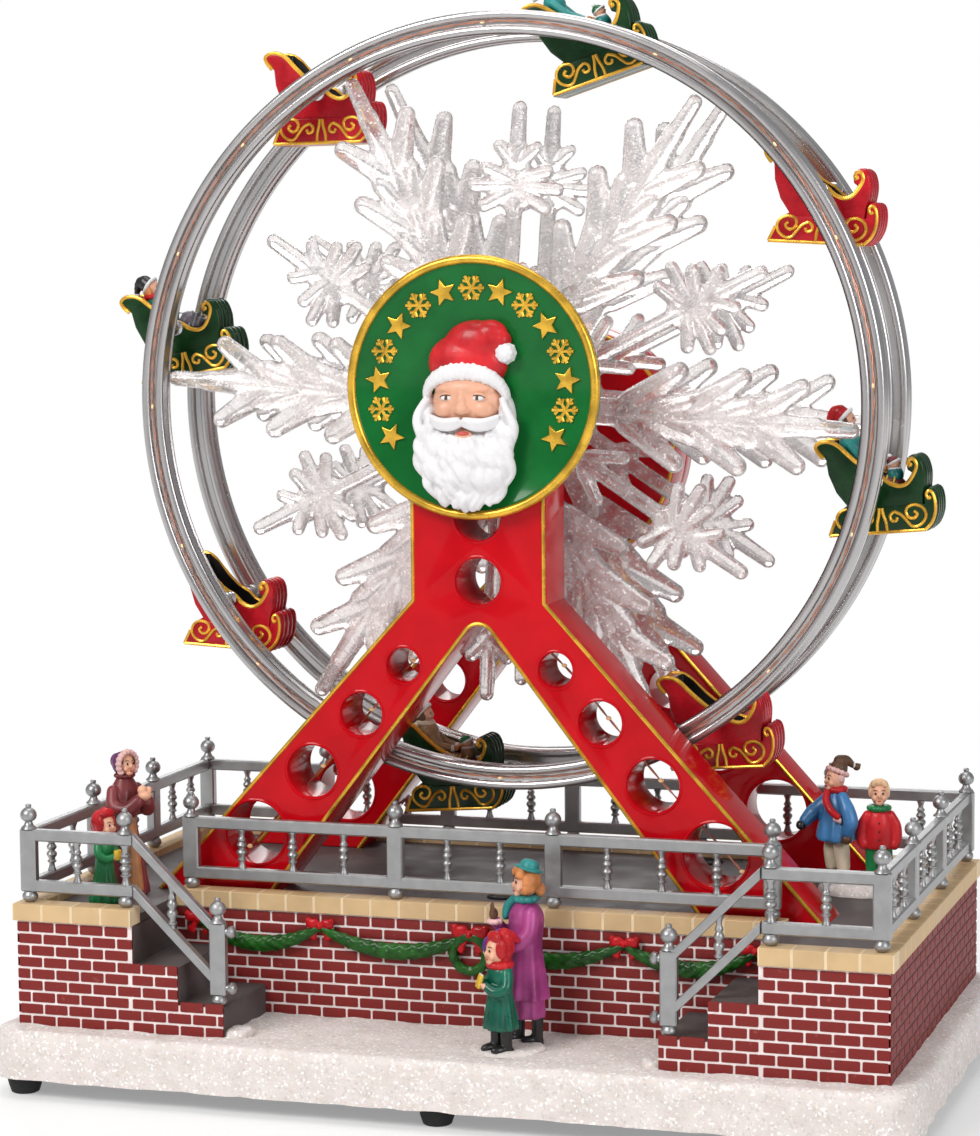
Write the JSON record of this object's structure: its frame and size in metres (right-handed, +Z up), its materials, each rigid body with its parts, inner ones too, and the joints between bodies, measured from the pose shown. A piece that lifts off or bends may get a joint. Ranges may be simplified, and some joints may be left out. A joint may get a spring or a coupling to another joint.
{
  "type": "table-top christmas ferris wheel",
  "caption": "Motor-driven decorative ferris wheel with sleighs and snowflake spokes between two leg frames on a snowy brick terrace base.",
  "frame": {"origin": "on the table, under the middle of the base", "axes": "+Z up, +X to the right seen from the front, +Y to the back; the wheel turns about an axis along Y"},
  "size_m": [0.346, 0.198, 0.4132],
  "materials": {
    "snow": "rough glittering snow coating",
    "brick": "moulded brick, painted mortar",
    "coping": "matt paint",
    "stone": "matt paint",
    "silver_paint": "satin silver paint",
    "red_gloss": "high gloss",
    "green_gloss": "high gloss",
    "relief": "painted",
    "steel": "plain",
    "nylon": "natural",
    "garland": "painted",
    "figure_purple": "painted",
    "figure_green": "painted",
    "figure_maroon": "painted",
    "figure_red": "painted",
    "figure_blue": "painted",
    "rubber": "matt",
    "rim_metal": "satin silver",
    "clear_plastic": "clear with fine glitter",
    "sled_green": "painted, gold trim",
    "sled_red": "painted, gold trim",
    "copper": "varnished copper wire",
    "board": "circuit board",
    "black_plastic": "matt"
  },
  "bodies": {
    "base": {"snow_base": "snow", "base_plate": "black_plastic", "battery_door": "black_plastic", "battery_case": "black_plastic", "circuit_board": "board", "brick_block": "brick", "deck_panel": "stone", "coping": "coping", "recess_coping": "coping", "left_stairs": "stone", "right_stairs": "stone", "recess_railing": "silver_paint", "left_front_railing": "silver_paint", "right_front_railing": "silver_paint", "left_side_railing": "silver_paint", "right_side_railing": "silver_paint", "back_railing": "silver_paint", "left_stair_railing": "silver_paint", "right_stair_railing": "silver_paint", "front_frame": "red_gloss", "rear_frame": "red_gloss", "medallion": "green_gloss", "relief_head": "relief", "motor_cover": "red_gloss", "gear_motor": "steel", "garland": "garland", "front_woman": "figure_purple", "front_child": "figure_green", "left_woman": "figure_maroon", "left_child": "figure_red", "right_tall_boy": "figure_blue", "right_small_boy": "figure_red", "foot_front_left": "rubber", "foot_front_middle": "rubber", "foot_front_right": "rubber", "foot_rear_left": "rubber", "foot_rear_middle": "rubber", "foot_rear_right": "rubber", "front_bush": "nylon", "rear_bush": "nylon", "front_leg_wire": "copper"},
    "wheel": {"axle": "steel", "drive_gear": "nylon", "hub_spool": "clear_plastic", "front_snowflake": "clear_plastic", "rear_snowflake": "clear_plastic", "front_rim": "rim_metal", "rear_rim": "rim_metal", "front_rim_wire": "copper", "rear_rim_wire": "copper"},
    "sleigh_1": {"sled_1": "sled_green"},
    "sleigh_2": {"sled_2": "sled_red"},
    "sleigh_3": {"sled_3": "sled_green"},
    "sleigh_4": {"sled_4": "sled_red"},
    "sleigh_5": {"sled_5": "sled_green"},
    "sleigh_6": {"sled_6": "sled_red"},
    "sleigh_7": {"sled_7": "sled_green"},
    "sleigh_8": {"sled_8": "sled_red"},
    "pinion": {"motor_pinion": "steel"},
    "switch": {"switch_slider": "black_plastic"}
  },
  "joints": [
    {"name": "wheel_spin", "type": "hinge", "parent": "base", "child": "wheel", "pos_m": [0, 0.018, 0.252], "axis": [0, 1, 0], "continuous": true},
    {"name": "sleigh_1_swing", "type": "hinge", "parent": "wheel", "child": "sleigh_1", "pos_m": [0.13768, 0.018, 0.22399], "axis": [0, 1, 0], "continuous": true},
    {"name": "sleigh_2_swing", "type": "hinge", "parent": "wheel", "child": "sleigh_2", "pos_m": [0.11716, 0.018, 0.32955], "axis": [0, 1, 0], "continuous": true},
    {"name": "sleigh_3_swing", "type": "hinge", "parent": "wheel", "child": "sleigh_3", "pos_m": [0.02801, 0.018, 0.38968], "axis": [0, 1, 0], "continuous": true},
    {"name": "sleigh_4_swing", "type": "hinge", "parent": "wheel", "child": "sleigh_4", "pos_m": [-0.07755, 0.018, 0.36916], "axis": [0, 1, 0], "continuous": true},
    {"name": "sleigh_5_swing", "type": "hinge", "parent": "wheel", "child": "sleigh_5", "pos_m": [-0.13768, 0.018, 0.28001], "axis": [0, 1, 0], "continuous": true},
    {"name": "sleigh_6_swing", "type": "hinge", "parent": "wheel", "child": "sleigh_6", "pos_m": [-0.11716, 0.018, 0.17445], "axis": [0, 1, 0], "continuous": true},
    {"name": "sleigh_7_swing", "type": "hinge", "parent": "wheel", "child": "sleigh_7", "pos_m": [-0.02801, 0.018, 0.11432], "axis": [0, 1, 0], "continuous": true},
    {"name": "sleigh_8_swing", "type": "hinge", "parent": "wheel", "child": "sleigh_8", "pos_m": [0.07755, 0.018, 0.13484], "axis": [0, 1, 0], "continuous": true},
    {"name": "pinion_spin", "type": "hinge", "parent": "base", "child": "pinion", "pos_m": [0, 0.018, 0.2235], "axis": [0, 1, 0], "continuous": true},
    {"name": "switch_slide", "type": "slide", "parent": "base", "child": "switch", "axis": [1, 0, 0], "range_m": [0, 0.004]}
  ],
  "couplings": [
    {"joint": "sleigh_1_swing", "follows": "wheel_spin", "ratio": -1},
    {"joint": "sleigh_2_swing", "follows": "wheel_spin", "ratio": -1},
    {"joint": "sleigh_3_swing", "follows": "wheel_spin", "ratio": -1},
    {"joint": "sleigh_4_swing", "follows": "wheel_spin", "ratio": -1},
    {"joint": "sleigh_5_swing", "follows": "wheel_spin", "ratio": -1},
    {"joint": "sleigh_6_swing", "follows": "wheel_spin", "ratio": -1},
    {"joint": "sleigh_7_swing", "follows": "wheel_spin", "ratio": -1},
    {"joint": "sleigh_8_swing", "follows": "wheel_spin", "ratio": -1},
    {"joint": "pinion_spin", "follows": "wheel_spin", "ratio": -3}
  ]
}
